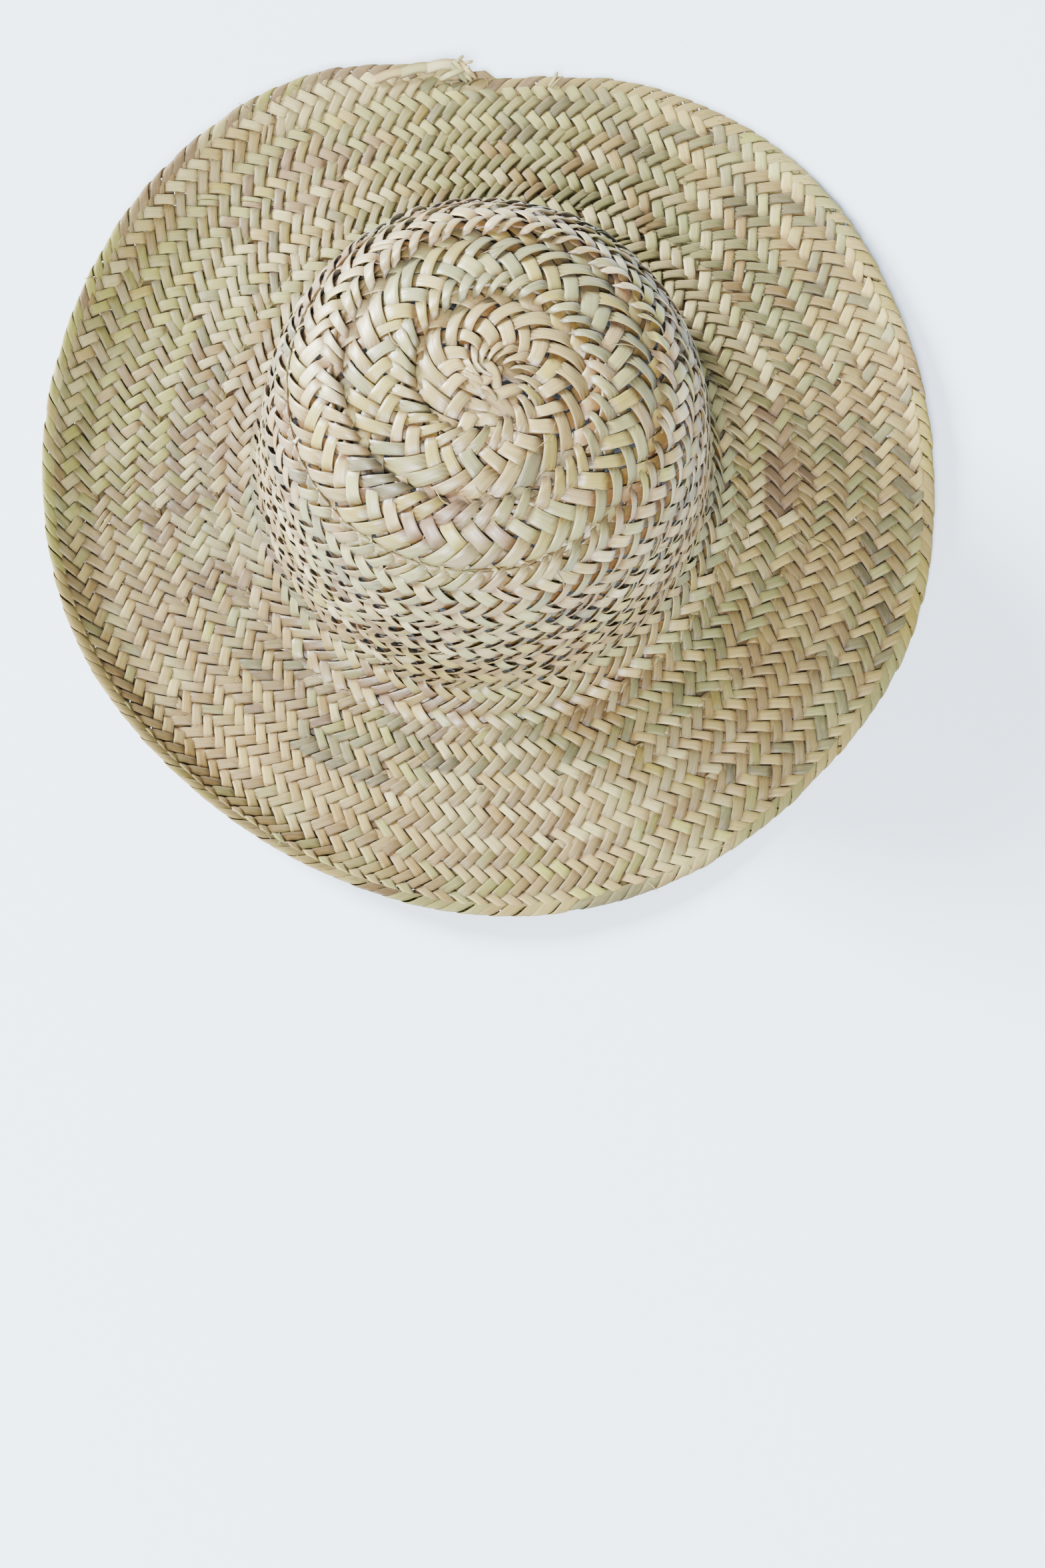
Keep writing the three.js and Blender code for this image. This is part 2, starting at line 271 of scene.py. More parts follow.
# Stray fibres: every third one has sprung from the rim, and the others from anywhere on the hat
STRAY_FIBRES = 54
RIM_FIBRE = {"every": 3, "inset": 1.0, "length": (3.0, 7.0), "heading": (-0.9, 0.9)}
FACE_FIBRE = {"distance": (20.0, 240.0), "length": (6.0, 14.0), "heading": (0.0, 2.0 * math.pi)}
FIBRE = {"samples": 13, "bend": 0.5, "lift": 0.5, "arch": 1.6, "arch_ends": 0.75, "lift_spread": 0.8,
         "width": (0.22, 0.5), "end_taper": 0.2, "thickness": 0.3, "colours": ["straw", "cream", "tan"]}

# Each piece of plait is a run of turns of the coil, and stands for the solid it covers
PLAIT_PIECES = [  # name, first turn, last turn, nodes, material slot
    ("plait_tip", -9.0, 1.7, ("crown_tip",), "tip_plait"),
    ("plait_shoulder", 1.7, 2.9, ("crown_shoulder",), "wall_plait"),
    ("plait_wall", 2.9, 5.9, ("crown_wall",), "wall_plait"),
    ("plait_brim_inside", 5.9, 7.6, ("brim",), "brim_plait"),
    ("plait_brim_middle", 7.6, 8.8, ("brim",), "brim_plait"),
    ("plait_brim_outside", 8.8, 99.0, ("brim",), "brim_plait"),
]

# The straw's patterns: scale and detail. The first three are stretched across and along each strip
RIBS = (2.2, 4.0, (3.2, 0.22, 1.0))
FIBRES = (2.0, 3.0, (11.0, 0.5, 1.0))
BLOTCHES = (1.7, 3.0, (1.3, 1.1, 1.0))
PATCHES = (38.0, 2.0)
SPECKS = (700.0, 2.0)
NOISE_ROUGHNESS = 0.55
GRAIN_LEVELS = (0.3, 0.7)
RIB_SHADES = (0.80, 1.16)
FIBRE_SHADES = (0.82, 1.14)

# What age adds: an sRGB colour, the levels of its pattern between which it comes in, and how much at most
BROWNED = {"colour": (0.60, 0.47, 0.31), "levels": (0.50, 0.74), "most": 0.42}
GREENED = {"colour": (0.66, 0.69, 0.45), "levels": (0.52, 0.72), "most": 0.22}
SPECKLED = {"colour": (0.38, 0.27, 0.16), "levels": (0.70, 0.78), "most": 0.35}
DOUBLED = {"colour": (0.42, 0.32, 0.18), "levels": (0.42, 0.58), "most": 0.55,
           "place": 0.15, "half_width": 0.022}
BROWNED_PATCH_LEVELS = (0.35, 0.65)
BROWNED_PATCH_SHARES = (0.3, 1.0)

# How glossy the straw is: roughness and specular level on the crown and on the brim
SMOOTH_STRAW = ("smooth_palm_leaf", 0.40, 0.72)
WORN_STRAW = ("worn_palm_leaf", 0.56, 0.40)
ROUGHER_GROOVE = 0.10
GLOSSIER_RIB = 0.12
STRAW_SHEEN = 0.12
STRAW_BUMP = {"strength": 0.55, "metres": 0.0003}

# Floor, lights, camera and surroundings. Lights and the floor are in metres and watts
FLOOR = {"half_size": 30.0, "colour": (0.75, 0.86, 1.0, 1.0), "roughness": 0.9}
LIGHTS = [  # name, place, size, power, colour
    ("side_softbox", (-5.4, 3.0, 2.6), 2.0, 2700.0, (0.97, 1.0, 0.985)),
    ("front_softbox", (-0.7, -3.2, 4.1), 2.4, 950.0, (0.98, 0.99, 1.0)),
]
LIGHT_TARGET = (0.0, 0.0, 0.05)
CAMERA = {"right_of_crown": 15.7, "front_of_crown": 280.7, "height": 918.1, "looks_down": 81.015,
          "lens": 50.0, "sensor": 36.0}
SURROUNDINGS = {"colour": (0.78, 0.88, 1.0, 1.0), "strength": 0.62}

rng = np.random.default_rng(SEED)


def smoothstep(low, high, value):
    share = np.clip((value - low) / (high - low), 0.0, 1.0)
    return share * share * (3.0 - 2.0 * share)


def with_added(measure, share):
    """A measure: its base value, and a share of what is added to it."""
    base, added = measure
    return base + added * share


def degrees_past(azimuth, middle):
    """How far an azimuth lies past another, from -180 to 180."""
    return np.mod(azimuth - middle + 180.0, 360.0) - 180.0


def azimuth_cells(azimuth):
    """The table cells on both sides of an azimuth, and how far it lies between them."""
    cell = np.mod(azimuth, 360.0) * AZIMUTH_CELLS / 360.0
    low = np.floor(cell).astype(int) % AZIMUTH_CELLS
    return low, (low + 1) % AZIMUTH_CELLS, cell - np.floor(cell)


def at_azimuth(table, azimuth):
    low, high, between = azimuth_cells(azimuth)
    return table[low] * (1 - between) + table[high] * between


def rim_column(column, azimuth):
    """A column of RIM at any azimuth, on a smooth closed curve through its rows."""
    values = RIM[:, column]
    passed = np.mod(azimuth, 360.0) / (360.0 / len(values))
    row = np.floor(passed).astype(int)
    t = passed - row
    a, b, c, d = (values[(row + offset) % len(values)] for offset in (-1, 0, 1, 2))
    return b + 0.5 * t * (c - a + t * (2 * a - 5 * b + 4 * c - d + t * (3 * (b - c) + d - a)))


def plait_end_step(azimuth):
    """How far the rim stands out on one side of the plait's end, and in on the other."""
    past = degrees_past(azimuth, PLAIT_END["azimuth"])
    proud = PLAIT_END["proud"] * np.exp(-np.maximum(past, 0.0) / PLAIT_END["proud_ease"])
    shy = -PLAIT_END["shy"] * np.exp(np.minimum(past, 0.0) / PLAIT_END["shy_ease"])
    return np.where(past > 0.0, proud, shy)


def smooth_curve(knots, values, at):
    """Cubic curve through values at uneven knots."""
    gaps = np.diff(knots)[:, None]
    slopes = np.diff(values, axis=0) / gaps
    tangents = np.empty_like(values)
    tangents[0], tangents[-1] = slopes[0], slopes[-1]
    tangents[1:-1] = (slopes[1:] * gaps[:-1] + slopes[:-1] * gaps[1:]) / (gaps[1:] + gaps[:-1])
    cell = np.clip(np.searchsorted(knots, at, side="right") - 1, 0, len(knots) - 2)
    gap = gaps[cell]
    t = ((at - knots[cell])[:, None]) / gap
    return ((1 + 2 * t) * (1 - t) ** 2 * values[cell] + t * (1 - t) ** 2 * gap * tangents[cell]
            + t * t * (3 - 2 * t) * values[cell + 1] - t * t * (1 - t) * gap * tangents[cell + 1])


class HatSurface:
    """The plait's middle surface, by distance from the tip along the surface and by azimuth."""

    SPACING = 0.5
    REACH = 300.0
    CROWN_SAMPLES = 420
    LIP_SAMPLES = 240
    LIP_REACH = 4.5
    SLOPE_STEP = 1.0
    LEAST_SLOPE = 1e-6

    def __init__(self):
        azimuths = np.arange(AZIMUTH_CELLS) * 360.0 / AZIMUTH_CELLS
        rim = rim_column(0, azimuths) + plait_end_step(azimuths)
        radius, height = self.sections(azimuths, rim)
        run = np.hypot(np.diff(radius, axis=1), np.diff(height, axis=1))
        along = np.concatenate([np.zeros((len(azimuths), 1)), np.cumsum(run, 1)], 1)
        grid = np.arange(0.0, self.REACH, self.SPACING)
        self.radius = np.array([np.interp(grid, a, r) for a, r in zip(along, radius)])
        self.height = np.array([np.interp(grid, a, h) for a, h in zip(along, height)])
        selvage = rim - SELVAGE_WIDTH / 2
        self.rim_along = np.array([np.interp(x, r, a) for x, r, a in zip(selvage, radius, along)])

    def sections(self, azimuths, rim):
        """Radius and height along the section at each azimuth, to well past the rim."""
        knots = np.concatenate([[0.0], np.cumsum(np.hypot(*np.diff(RINGS, axis=0).T))])
        crown = smooth_curve(knots, RINGS, np.linspace(0.0, knots[-1], self.CROWN_SAMPLES))
        level = crown[:, 0] > LEVEL_RADIUS
        crown[level, 1] = np.maximum(crown[level, 1], LEVEL_HEIGHT)
        crown_radius, crown_height = (np.repeat(column[None], len(azimuths), 0) for column in crown.T)
        share = np.linspace(0.0, self.LIP_REACH, self.LIP_SAMPLES)[1:]
        flat_radius, flat_height = RINGS[-1]
        lip_radius = flat_radius + (rim - flat_radius)[:, None] * share
        lip_height = flat_height + (rim_column(1, azimuths) - flat_height)[:, None] * share ** LIP_CURVE
        radius = np.concatenate([crown_radius, lip_radius], 1)
        height = np.concatenate([crown_height, lip_height], 1)
        swell = np.maximum(0.0, rim_column(2, azimuths))
        swell_share = (radius - SWELL_INSIDE_RADIUS) / (rim[:, None] - SWELL_INSIDE_RADIUS)
        height += swell[:, None] * np.sin(np.pi * np.clip(swell_share, 0.0, 1.0)) ** 2
        return radius, height

    def rim_distance(self, azimuth):
        return at_azimuth(self.rim_along, azimuth)

    def profile(self, distance, azimuth):
        low, high, between = azimuth_cells(azimuth)
        place = np.clip(distance / self.SPACING, 0.0, self.radius.shape[1] - 1.001)
        near = np.floor(place).astype(int)
        on = place - near
        result = []
        for table in (self.radius, self.height):
            here = table[low, near] * (1 - on) + table[low, near + 1] * on
            there = table[high, near] * (1 - on) + table[high, near + 1] * on
            result.append(here * (1 - between) + there * between)
        return result

    def place(self, distance, azimuth, lift=0.0):
        """Points at a distance and azimuth, lifted off the middle surface along its normal."""
        radius, height = self.profile(distance, azimuth)
        radius_on, height_on = self.profile(distance + self.SLOPE_STEP, azimuth)
        radius_back, height_back = self.profile(np.maximum(distance - self.SLOPE_STEP, 0.0), azimuth)
        slope_r, slope_z = radius_on - radius_back, height_on - height_back
        size = np.maximum(np.hypot(slope_r, slope_z), self.LEAST_SLOPE)
        out, up = -slope_z / size, slope_r / size
        lean = smoothstep(CROWN_LEAN["from"], CROWN_LEAN["to"], height)
        radius = radius + lift * out
        turn = np.radians(azimuth)
        return np.stack([
            CROWN_AXIS[0] + CROWN_LEAN["x"] * lean + radius * np.cos(turn),
            CROWN_AXIS[1] + CROWN_LEAN["y"] * lean + radius * np.sin(turn),
            np.maximum(height + lift * up, FLOOR_CLEARANCE)], -1)


surface = HatSurface()


class Coil:
    """Turns a place on the flat band into a place on the hat.

    Along the band, places count strip pitches. Across it, they count rows outwards."""

    BRIM_START = 165.0
    RIM_ROWS = 3.8
    TUCKED_ROWS = 2.0
    TUCKED_FROM = 0.5
    TURNS_PAST_END = 1.2
    TURN_SAMPLES = 9000
    SMOOTHED_DEGREES = 12.0
    SHARE_PAST_RIM = 1.1

    def __init__(self):
        turns = np.linspace(0.0, PLAIT_END_TURN + self.TURNS_PAST_END, self.TURN_SAMPLES)
        radius = surface.profile(self.nominal(turns, ROWS / 2), self.azimuth(turns))[0]
        rate = 2 * np.pi * radius / np.interp(turns, *STRIP_PITCH.T)
        count = np.concatenate([[0.0], np.cumsum(0.5 * (rate[1:] + rate[:-1]) * np.diff(turns))])
        self.turns = np.concatenate([[-1.0], turns])
        self.count = np.concatenate([[-rate[0]], count])
        self.spare = self.spare_width()

    def spare_width(self):
        """How far the rim lies past its nominal distance at each azimuth, smoothed round the hat."""
        azimuths = np.arange(AZIMUTH_CELLS) * 360.0 / AZIMUTH_CELLS
        spare = surface.rim_along - self.nominal_rim(azimuths)
        reach = np.minimum(azimuths, 360.0 - azimuths)
        window = np.exp(-0.5 * (reach / self.SMOOTHED_DEGREES) ** 2)
        return np.fft.ifft(np.fft.fft(spare) * np.fft.fft(window / window.sum())).real

    @staticmethod
    def azimuth(turns):
        return COIL_START_AZIMUTH - 360.0 * turns

    def nominal_rim(self, azimuth):
        """Where the rim would lie if every row kept its even height."""
        past_end = np.mod(PLAIT_END["azimuth"] - azimuth, 360.0) / 360.0
        rows = self.RIM_ROWS - self.TUCKED_ROWS * smoothstep(self.TUCKED_FROM, 1.0, past_end)
        return TURN_WIDTH * (PLAIT_END_TURN - 1.0 + past_end + rows / ROWS)

    def turn_at(self, along):
        return np.interp(along, self.count, self.turns)

    def count_at(self, turns):
        return np.interp(turns, self.turns, self.count)

    def distance(self, nominal, azimuth):
        """Eases the even spacing of the rows, so that they run in line with the rim."""
        share = (nominal - self.BRIM_START) / (surface.rim_along.mean() - self.BRIM_START)
        return nominal + at_azimuth(self.spare, azimuth) * np.clip(share, 0.0, self.SHARE_PAST_RIM)

    def coarseness(self, turns):
        return 1.0 - smoothstep(*COARSE_TURNS, turns)

    def nominal(self, turns, across):
        """Distance from the tip of a place on the band, with even rows."""
        row = TURN_WIDTH / ROWS + (COARSE_ROW - TURN_WIDTH / ROWS) * self.coarseness(turns)
        return TURN_WIDTH * turns + row * across

    @staticmethod
    def tail(along, across):
        """The band before its first turn bends away from the tip, and sinks under what crosses it."""
        back = np.maximum(-along, 0.0) * COARSE_PITCH
        bend = back / STARTING_TAIL["bend"]
        swing = STARTING_TAIL["bend"] + (across - ROWS / 2) * COARSE_ROW
        x = STARTING_TAIL["bend"] - ROWS / 2 * COARSE_ROW - swing * np.cos(bend)
        y = -swing * np.sin(bend)
        sunk = STARTING_TAIL["sunk"] * smoothstep(0.0, STARTING_TAIL["sinks_over"], back)
        return np.hypot(x, y), np.degrees(np.arctan2(y, x)), sunk

    def place(self, along, across, lift):
        """Points of the hat for places on the band, lifted off the middle surface."""
        turns = self.turn_at(along)
        azimuth = self.azimuth(turns)
        distance = self.distance(self.nominal(turns, across), azimuth)
        coarse = self.coarseness(turns - LAP["lag"])
        over = coarse * smoothstep(*LAP["starts"], turns) * (1.0 - smoothstep(*LAP["rows_over"], across))
        under = coarse * smoothstep(*LAP["rows_under"], across)
        tail_distance, tail_azimuth, sunk = self.tail(along, across)
        distance = np.where(along < 0.0, tail_distance, distance)
        azimuth = np.where(along < 0.0, tail_azimuth, azimuth)
        return surface.place(distance, azimuth, lift + LAP["rise"] * over - LAP["drop"] * under - sunk)

    def mismatch(self, turns):
        """How far the strips of the next turn are out of step here, from -0.5 to 0.5 of a pitch."""
        ahead = self.count_at(turns + 1.0) - self.count_at(turns)
        return ahead - np.round(ahead)


coil = Coil()


def srgb_to_linear(colour):
    colour = np.asarray(colour, float)
    return np.where(colour <= 0.04045, colour / 12.92, ((colour + 0.055) / 1.055) ** 2.4)


LEAF_NAMES = [name for name, _, _ in LEAF_COLOURS]
LEAF_PALETTE = np.array([srgb_to_linear(rgb) for _, rgb, _ in LEAF_COLOURS]) * LEAF_TONE
LEAF_WEIGHTS = np.array([weight for _, _, weight in LEAF_COLOURS], float)
LEAF_WEIGHTS /= LEAF_WEIGHTS.sum()


def random_leaves(count=None):
    """Rows of the palette, drawn as often as each colour turns up."""
    return rng.choice(len(LEAF_PALETTE), size=count, p=LEAF_WEIGHTS)


def darken(colour, shade):
    """A colour with painted shade towards the brown of a crevice, by a share from 0 to 1."""
    return colour * (1.0 - shade * (1.0 - srgb_to_linear(PAINTED_SHADE_TINT) * PAINTED_SHADE_GAIN))


def strip_texture(shape, along):
    """Texture places of strips, with the places along them given."""
    texture = np.empty(shape + (2,))
    texture[..., 0] = SECTION_TEXTURE
    texture[..., 1] = along
    return texture


def float_height(crossing):
    """How far a strip rides over (1) or under (-1) the strips it crosses, over from -0.5 to 1.5."""
    wave = np.cos(np.pi * (crossing - 0.5) / 2.0) + FLOAT_BIAS
    return wave / np.sqrt(wave * wave + FLOAT_SOFTNESS) * FLOAT_GAIN


class Plait:
    """Every strip of the plait, cut into legs: its straight crossings of the band.

    Arrays run over the legs, then the samples along a leg, then the points of a strip's section."""

    def __init__(self):
        legs = self.find_legs()
        split = rng.random(len(legs[0])) < SPLIT_STRIP["share"]
        self.strand, self.leg, self.start, self.turn, self.top = (
            np.concatenate([values, values[split]]) for values in legs)
        self.half = np.concatenate([np.where(split, 1.0, 0.0), -np.ones(split.sum())])
        self.outward = self.leg % 2 == 0
        self.crown = smoothstep(*CROWN_TURNS, self.turn)
        self.hemmed = coil.coarseness(self.turn - HEM["lag"])
        self.draw_unevenness()
        self.lay_strips()
        self.colour_strips()

    @staticmethod
    def find_legs():
        """Strip, number, start, middle turn and row reached of every leg inside the rim."""
        leg_count = int((coil.count[-1] + 2 * ROWS + STARTING_TAIL["pitches"]) / ROWS)
        strand, leg = np.meshgrid(np.arange(STRANDS), np.arange(leg_count), indexing="ij")
        strand, leg = strand.ravel(), leg.ravel()
        start = strand + ROWS * leg - ROWS - STARTING_TAIL["pitches"]
        turn = coil.turn_at(start + ROWS / 2)
        azimuth = coil.azimuth(turn)
        rows = np.linspace(-1.0, ROWS + 1.0, 121)
        reached = coil.distance(coil.nominal(turn[:, None], rows[None]), azimuth[:, None])
        inside = reached < surface.rim_distance(azimuth)[:, None] - INSIDE_RIM
        top = rows[np.maximum(inside.sum(1) - 1, 0)]
        top = np.clip(top, ROW_EDGES[0] - TUCK, ROW_EDGES[1] + TUCK)
        keep = (top > SHORTEST_LEG) & (start > -STARTING_TAIL["pitches"]) & (start + ROWS < coil.count[-1])
        return strand[keep], leg[keep], start[keep], turn[keep], top[keep]

    def draw_unevenness(self):
        """Draws the width, drift, tilt, height and texture of every leg."""
        legs = len(self.leg)
        coarse = coil.coarseness(self.turn)
        width = np.interp(self.turn, *STRIP_FILL.T) * rng.normal(1.0, with_added(WIDTH_SPREAD, coarse))
        self.width = np.where(self.half != 0.0, SPLIT_STRIP["width"] * width, width)
        self.drift = rng.normal(0.0, 1.0, (legs, 2)) * with_added(DRIFT_SPREAD, coarse)[:, None]
        tilt = with_added(TILT, self.crown * self.outward)
        self.tilt = rng.normal(tilt, with_added(TILT_SPREAD, self.crown))
        apart = 1.0 + rng.normal(0.0, SPLIT_STRIP["apart_spread"], (legs, 1))
        self.apart = (SPLIT_STRIP["apart"] * self.half)[:, None] * apart
        arch = np.maximum(rng.normal(1.0, with_added(ARCH_SPREAD, self.crown)), LOWEST_ARCH)
        self.arch = np.interp(self.turn, *LAYER_HEIGHT.T) * arch
        self.texture_start = rng.uniform(0.0, TEXTURE_RUN, legs)

    def lay_strips(self):
        """Places the points of every leg on the hat, and on the leaf's texture."""
        share = np.linspace(0.0, 1.0, ROWS * SAMPLES_PER_ROW + 3)
        late = np.where(self.outward, 0.0, HEM["late"]) * self.hemmed
        bottom = (ROW_EDGES[0] - TUCK * (1.0 - self.hemmed) + late)[:, None]
        self.across = bottom + (self.top[:, None] - bottom) * share
        across = self.across[:, :, None]
        in_leg = np.where(self.outward[:, None], self.across, ROWS - self.across)
        sway = self.drift[:, :1] + (self.drift[:, 1:] - self.drift[:, :1]) * share
        middle = self.start[:, None] + in_leg + sway + self.shift_into_step()
        lane = SECTION_SIDE * self.width_along()[:, :, None] + self.apart[:, :, None]
        self.ride = self.ride_over(across, lane)
        lift = self.arch[:, None, None] * self.ride + SECTION_RISE + self.tilt[:, None, None] * SECTION_SIDE
        curl = self.hemmed[:, None, None] * smoothstep(HEM["curl_from"], ROW_EDGES[0], across)
        lift -= HEM["curl"] * curl * self.outward[:, None, None]
        self.points = coil.place(middle[:, :, None] + lane, across, lift)
        along = in_leg[:, :, None] + self.texture_start[:, None, None]
        self.texture = strip_texture(self.points.shape[:3], along)

    def shift_into_step(self):
        """Shifts a strip's ends along the band, so that its row meets the rows of the turns beside it."""
        inner_turn = coil.turn_at(np.where(self.outward, self.start, self.start + ROWS))
        outer_turn = coil.turn_at(np.where(self.outward, self.start + ROWS, self.start))
        inner = 0.5 * coil.mismatch(np.maximum(inner_turn - 1.0, 0.0))
        inner *= smoothstep(*STEP_TURNS["inner"], inner_turn)
        outer = -0.5 * coil.mismatch(outer_turn) * smoothstep(*STEP_TURNS["outer"], outer_turn)
        return (inner[:, None] * smoothstep(*STEP_ROWS["inner"], self.across)
                + outer[:, None] * smoothstep(*STEP_ROWS["outer"], self.across))

    def width_along(self):
        pinch = 1.0 - HEM["pinch"] * self.hemmed[:, None] * smoothstep(*HEM["pinch_rows"], self.across)
        over = np.where(self.outward[:, None], 1.0, -1.0) * float_height(2.0 * self.across)
        spread = 1.0 + np.interp(self.turn, *HIDDEN_SPREAD.T)[:, None] * (0.5 - 0.5 * over)
        return self.width[:, None] * pinch * spread

    def ride_over(self, across, lane):
        """How far each point rides over or under the strips it crosses, held back where it is tucked."""
        outward = self.outward[:, None, None]
        ride = np.where(outward, float_height(2.0 * across + lane), -float_height(2.0 * across - lane))
        stays_up = np.maximum(ride, -TUCKED_RIDE)
        stays_down = np.minimum(ride, TUCKED_RIDE)
        ride = np.where(across < ROW_EDGES[0], np.where(outward, stays_up, stays_down), ride)
        return np.where(across > ROW_EDGES[1], np.where(outward, stays_down, stays_up), ride)

    def colour_strips(self):
        """Colours every point by its leaf and its zone, with painted light and shade by its direction and by
        how deep it lies in the plait.
        """
        colour = self.leaf_colours() * rng.normal(1.0, TONE_SPREAD["leg"], len(self.leg))[:, None]
        tone = BRIM_TONE + (1.0 - BRIM_TONE) * self.crown[:, None]
        colour = self.paint_zones(colour) * tone[:, None]
        self.colours = darken(colour[:, :, None, :], self.shade()[..., None])

    def leaf_colours(self):
        """Colour of each leg: neighbours split from one leaf share it for a while."""
        count = int(self.leg.max()) + 1
        table = np.zeros((STRANDS, count, 3))
        bunches = np.repeat(random_leaves(count), rng.integers(*BUNCH_LEGS, count))
        for strands in LEAF_STRANDS:
            leg = 0
            while leg < count:
                run = int(rng.integers(*LEAF_LEGS))
                own = random_leaves()
                leaf = bunches[leg] if rng.random() < BUNCHED_SHARE else own
                for strand in strands:
                    start = max(0, leg + int(rng.integers(-1, 2)))
                    strip = random_leaves() if rng.random() < ODD_STRIP_SHARE else leaf
                    table[strand, start:] = LEAF_PALETTE[strip] * rng.normal(1.0, TONE_SPREAD["strip"])
                leg += run
        return table[self.strand, self.leg]

    def paint_zones(self, colour):
        """Colours each float, repaints the ones in a zone of LOCAL_TINTS, and adds painted light and shade
        by zone and by direction.
        """
        row = np.floor(self.across - ROW_EDGES[0]) - ROW_EDGES[0]
        turns = coil.turn_at(self.start[:, None] + np.where(self.outward[:, None], row, ROWS - row))
        azimuth, distance = coil.azimuth(turns), coil.nominal(turns, row)
        painted = np.repeat(colour[:, None, :], self.across.shape[1], 1)
        for name, zone_azimuth, zone_distance, spread, reach, share in LOCAL_TINTS:
            aside = degrees_past(azimuth, zone_azimuth)
            within = np.hypot(aside / spread, (distance - zone_distance) / reach) < 1.0
            chosen = within & (rng.random(len(colour)) < share)[:, None]
            tone = rng.normal(1.0, TONE_SPREAD["zone"], len(colour))
            tint = LEAF_PALETTE[LEAF_NAMES.index(name)] * tone[:, None]
            painted = np.where(chosen[..., None], tint[:, None, :], painted)
        # Painted shade and painted light by zone of the brim
        for zone_azimuth, spread, near, far, factor in LIT_AND_SHADED_ZONES:
            aside = degrees_past(azimuth, zone_azimuth)
            reach = np.exp(-(aside / spread) ** 2) * smoothstep(near, far, distance)
            painted *= 1.0 + (factor - 1.0) * reach[..., None]
        # Painted shade on floats running outwards and painted highlight on floats running inwards, fading on
        # the crown
        side = np.where(self.outward[:, None, None], OUTWARD_FLOAT_SHADE, INWARD_FLOAT_HIGHLIGHT)
        return painted * side ** (1.0 - CROWN_FLOAT_LIGHT_FADE * self.crown)[:, None, None]

    def shade(self):
        """Painted shade on each point, as in a crevice: under other strips, under a lap, or at a strip's
        edge.
        """
        across = self.across[:, :, None]
        under = smoothstep(*UNDER_RIDE, self.ride) * with_added(UNDER_SHADE, self.crown)[:, None, None]
        lapped = np.maximum(*(smoothstep(*rows, across) for rows in LAPPED_ROWS))
        lapped = LAPPED_SHADE * self.hemmed[:, None, None] * lapped
        edge = with_added(EDGE_SHADE, self.crown) + OUTWARD_EDGE_SHADE * self.outward
        edges = np.where(np.abs(SECTION_SIDE) > STRIP_EDGE, edge[:, None, None], 0.0)
        return np.maximum(np.maximum(under, lapped), edges)

    def between(self, first, last):
        """The legs between two turns."""
        chosen = (self.turn >= first) & (self.turn < last)
        return self.points[chosen], self.colours[chosen], self.texture[chosen]


def rim_strips():
    """The selvage: points, colours and texture of the strips folded over the rim."""
    centre = np.linspace(0.0, 360.0, RIM_FOLDS, endpoint=False)
    centre += rng.normal(0.0, FOLD_SPREAD["place"], RIM_FOLDS)
    loose = np.exp(-(degrees_past(centre, LOOSE_RIM["azimuth"]) / LOOSE_RIM["spread"]) ** 2)
    swing = FOLD_ANGLES[0] - FOLD_ANGLES
    slant = (FOLD["slant"] + LOOSE_RIM["slant"] * loose)[:, None] * (swing / swing[-1] - 0.5) * 2.0
    fill = rng.normal(FOLD["fill"], FOLD_SPREAD["width"], RIM_FOLDS) - LOOSE_RIM["narrower"] * loose
    lane = SECTION_SIDE * (360.0 / RIM_FOLDS * fill)[:, None, None]
    azimuth = centre[:, None, None] - slant[:, :, None] - lane
    proud = rng.normal(0.0, FOLD_SPREAD["proud"], RIM_FOLDS) + LOOSE_RIM["wider"] * loose
    thickness = SECTION_RISE * FOLD["strip_thickness"]
    shingle = FOLD["shingle"] * SECTION_SIDE
    out = FOLD["half_width"] + proud[:, None, None] + thickness + shingle
    inset = FOLD["inset"] + LOOSE_RIM["inset"] * LOOSE_RIM["wider"] * loose[:, None, None]
    distance = surface.rim_distance(azimuth) - inset + np.cos(FOLD_ANGLES)[:, None] * out
    lift = np.sin(FOLD_ANGLES)[:, None] * (FOLD["half_thickness"] + thickness + shingle)
    points = surface.place(distance, azimuth, lift)
    texture_start = rng.uniform(0.0, TEXTURE_RUN, RIM_FOLDS)[:, None, None]
    texture = strip_texture(points.shape[:3], (swing / FOLD["texture_angle"])[:, None] + texture_start)
    return points, rim_colours(centre), texture


def rim_colours(centre):
    run = np.repeat(rng.permutation(RIM_FOLDS), FOLD["of_one_leaf"])[:RIM_FOLDS]
    leaves = random_leaves(RIM_FOLDS)[run]
    for name, zone_azimuth, spread, share in RIM_TINTS:
        near = np.abs(degrees_past(centre, zone_azimuth)) < spread
        leaves[near & (rng.random(RIM_FOLDS) < share)] = LEAF_NAMES.index(name)
    colour = LEAF_PALETTE[leaves] * BRIM_TONE * rng.normal(1.0, TONE_SPREAD["fold"], RIM_FOLDS)[:, None]
    # Painted shade along each fold's edges and on the part tucked under the rim
    edge = np.where(np.abs(SECTION_SIDE) > FOLD_SHADES["edge"], FOLD_SHADES["edge_shade"], 0.0)
    tucked = smoothstep(*FOLD_SHADES["tucked_angles"], np.abs(FOLD_ANGLES)) * FOLD_SHADES["tucked_shade"]
    return darken(colour[:, None, None, :], np.maximum(edge, tucked[:, None])[..., None])


def unit(vectors):
    return vectors / np.linalg.norm(vectors, axis=-1, keepdims=True)


